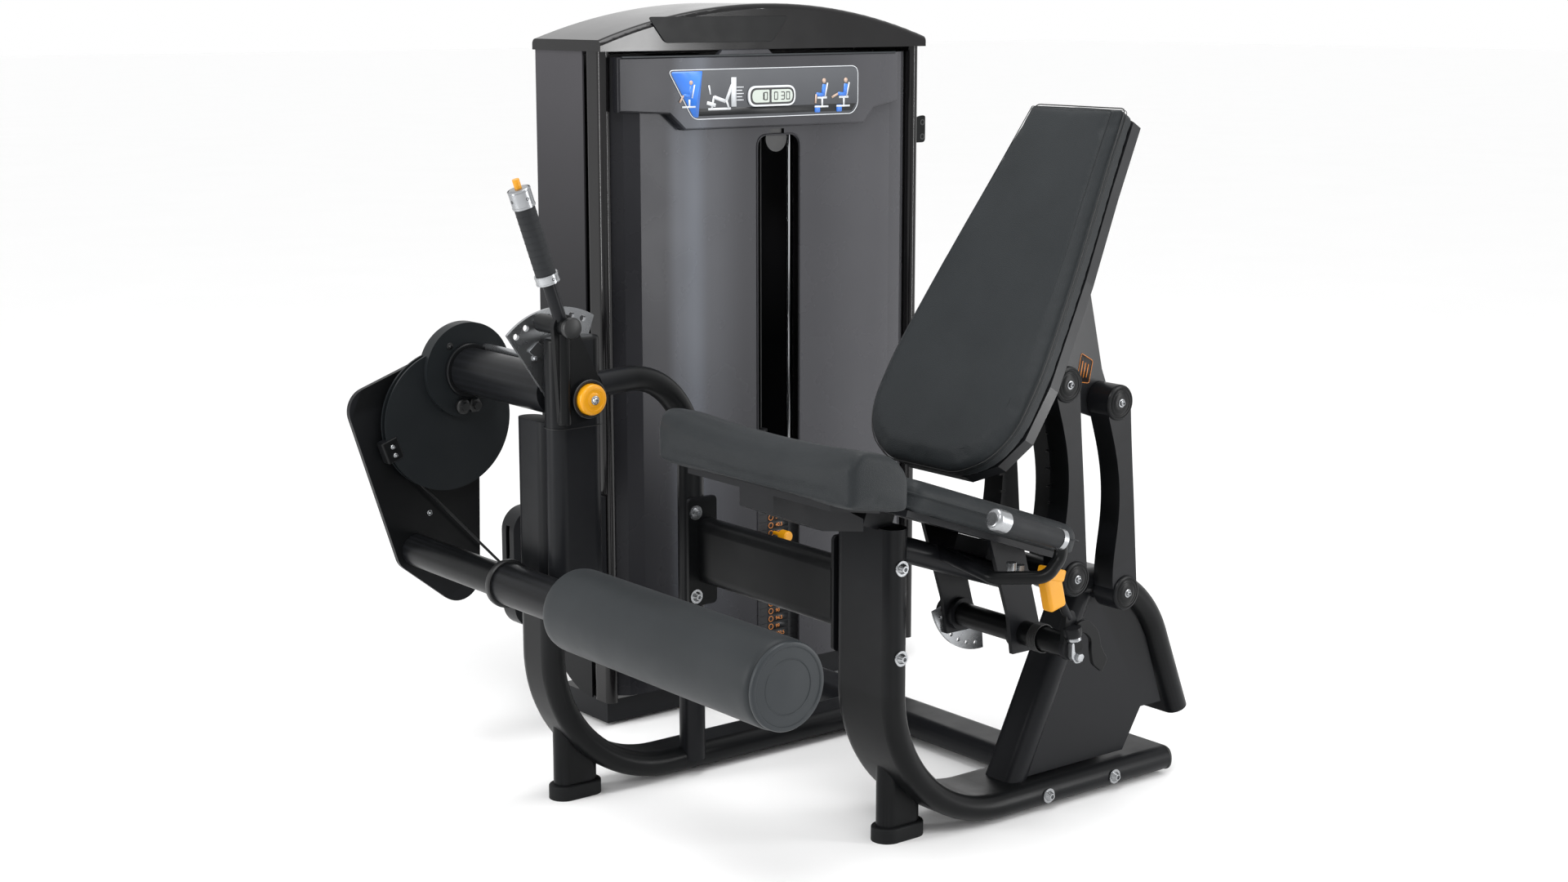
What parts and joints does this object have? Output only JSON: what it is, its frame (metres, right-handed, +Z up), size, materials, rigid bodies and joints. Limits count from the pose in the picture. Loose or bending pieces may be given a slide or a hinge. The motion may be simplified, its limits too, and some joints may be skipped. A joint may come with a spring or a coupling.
{
  "type": "leg extension machine",
  "caption": "Selectorised leg extension machine: padded seat with adjustable backrest, ankle roller on a cam-driven arm and an enclosed weight tower.",
  "frame": {"origin": "centre of the bounding box's underside, on the floor under the machine", "axes": "+X towards the user's back (the backrest side), +Y towards the weight tower, +Z up"},
  "size_m": [1.506, 1.465, 1.5999],
  "materials": {
    "frame_black": "textured satin black powder coat",
    "pad_vinyl": "dark charcoal upholstery vinyl, soft sheen",
    "roller_foam": "dense grey moulded foam roller",
    "grip_rubber": "matt black hand grip",
    "foot_rubber": "matt black rubber",
    "touch_yellow": "yellow moulded adjustment part",
    "zinc_steel": "bright zinc plated steel",
    "chrome_rod": "polished guide rods",
    "shroud_grey": "satin mid grey moulded shroud",
    "side_grey": "satin grey painted sheet",
    "crown_gloss": "dark gloss moulding",
    "stack_steel": "black oxide weight plates",
    "cable_black": "black coated steel cable",
    "wheel_nylon": "black nylon pulley",
    "cam_grey": "satin dark grey powder coat",
    "shell_black": "satin black moulded back shell",
    "cap_grey": "satin grey end cap"
  },
  "bodies": {
    "frame": {"front_frame": "frame_black", "seat_frame": "frame_black", "base_cross_tube": "frame_black", "rubber_feet": "foot_rubber", "pivot_post": "frame_black", "pivot_housing": "frame_black", "knee_arch": "frame_black", "cross_beam": "frame_black", "rear_leg": "frame_black", "rear_arch": "frame_black", "rear_gusset": "frame_black", "frame_bolts": "zinc_steel", "seat_rail": "frame_black", "seat_pan": "frame_black", "seat_brackets": "frame_black", "bolster_pad": "pad_vinyl", "seat_pad": "pad_vinyl", "side_handles": "frame_black", "side_grips": "grip_rubber", "side_collars": "zinc_steel", "recline_sector": "zinc_steel", "tower_base": "frame_black", "tower_frame": "frame_black", "tower_columns": "crown_gloss", "side_panels": "side_grey", "front_shroud": "shroud_grey", "rear_shroud": "side_grey", "header_panel": "shroud_grey", "crown_cap": "crown_gloss", "guide_rods": "chrome_rod", "resting_plates": "stack_steel", "pulley_guard": "frame_black", "weight_cable": "cable_black"},
    "cam": {"cam_plate": "cam_grey", "hub_tube": "frame_black", "sector_plate": "zinc_steel", "cable_clamp": "frame_black"},
    "arm": {"arm_plate": "frame_black", "roller_axle": "frame_black", "lever_plate": "frame_black", "lever_tube": "frame_black", "lever_grip": "grip_rubber", "lever_collars": "zinc_steel", "pivot_cap": "touch_yellow"},
    "plunger": {"start_plunger": "zinc_steel"},
    "button": {"lever_button": "touch_yellow"},
    "roller": {"roller_pad": "roller_foam", "roller_caps": "cap_grey"},
    "weights": {"lifted_plates": "stack_steel", "stack_head": "stack_steel"},
    "pin": {"selector_pin": "touch_yellow"},
    "guard_wheel": {"guard_pulley": "wheel_nylon"},
    "base_wheel": {"base_pulley": "wheel_nylon"},
    "top_wheel": {"top_pulley": "wheel_nylon"},
    "backrest": {"backrest_pad": "pad_vinyl", "backrest_shell": "shell_black"},
    "front_arms": {"front_links": "frame_black"},
    "rear_arms": {"rear_links": "frame_black"},
    "release": {"release_lever": "frame_black", "release_paddle": "touch_yellow"}
  },
  "joints": [
    {"name": "knee_extend", "type": "hinge", "parent": "frame", "child": "cam", "pos_m": [-0.498, 0.4725, 0.851], "axis": [0, 1, 0], "range_deg": [0, 62]},
    {"name": "start_adjust", "type": "hinge", "parent": "cam", "child": "arm", "pos_m": [-0.498, 0.1725, 0.851], "axis": [0, 1, 0], "range_deg": [0, 20.5]},
    {"name": "button_press", "type": "slide", "parent": "arm", "child": "button", "axis": [0.3256, 0, -0.9455], "range_m": [0, 0.007], "stiffness_N_per_m": 400},
    {"name": "plunger_pull", "type": "slide", "parent": "arm", "child": "plunger", "axis": [0, -1, 0], "range_m": [0, 0.0112]},
    {"name": "roller_spin", "type": "hinge", "parent": "arm", "child": "roller", "pos_m": [-0.608, -0.3975, 0.474], "axis": [0, 1, 0], "continuous": true},
    {"name": "stack_lift", "type": "slide", "parent": "frame", "child": "weights", "axis": [0, 0, 1], "range_m": [0, 0.21692]},
    {"name": "pin_pull", "type": "slide", "parent": "weights", "child": "pin", "axis": [0, -1, 0], "range_m": [0, 0.1]},
    {"name": "guard_wheel_turn", "type": "hinge", "parent": "frame", "child": "guard_wheel", "pos_m": [-0.33883, 0.50049, 0.4145], "axis": [0.0002, 1, 0.0002], "range_deg": [-234.96, 0]},
    {"name": "base_wheel_turn", "type": "hinge", "parent": "frame", "child": "base_wheel", "pos_m": [-0.04787, 0.50178, 0.41448], "axis": [0.0002, 0.9997, -0.0251], "range_deg": [-234.96, 0]},
    {"name": "top_wheel_turn", "type": "hinge", "parent": "frame", "child": "top_wheel", "pos_m": [0.26491, 0.5339, 1.43], "axis": [0.1233, -0.9924, 0], "range_deg": [-234.96, 0]},
    {"name": "backrest_swing", "type": "hinge", "parent": "frame", "child": "front_arms", "pos_m": [0.264, -0.4225, 0.486], "axis": [0, 1, 0], "range_deg": [-6, 12]},
    {"name": "rear_arm_swing", "type": "hinge", "parent": "frame", "child": "rear_arms", "pos_m": [0.408, -0.4225, 0.435], "axis": [0, 1, 0], "range_deg": [-6.2, 12.2]},
    {"name": "backrest_level", "type": "hinge", "parent": "front_arms", "child": "backrest", "pos_m": [0.231, -0.4225, 0.878], "axis": [0, 1, 0], "range_deg": [-12.2, 6.2]},
    {"name": "release_turn", "type": "hinge", "parent": "frame", "child": "release", "pos_m": [0.148, -0.4675, 0.392], "axis": [0, 1, 0], "range_deg": [0, 22], "stiffness_Nm_per_rad": 6}
  ],
  "couplings": [
    {"joint": "plunger_pull", "follows": "button_press", "ratio": 1.6},
    {"joint": "stack_lift", "follows": "knee_extend", "m_per_rad": 0.2},
    {"joint": "guard_wheel_turn", "follows": "knee_extend", "ratio": -3.7736},
    {"joint": "base_wheel_turn", "follows": "knee_extend", "ratio": -3.7736},
    {"joint": "top_wheel_turn", "follows": "knee_extend", "ratio": -3.7736},
    {"joint": "rear_arm_swing", "follows": "backrest_swing", "ratio": 1},
    {"joint": "backrest_level", "follows": "backrest_swing", "ratio": -1}
  ]
}
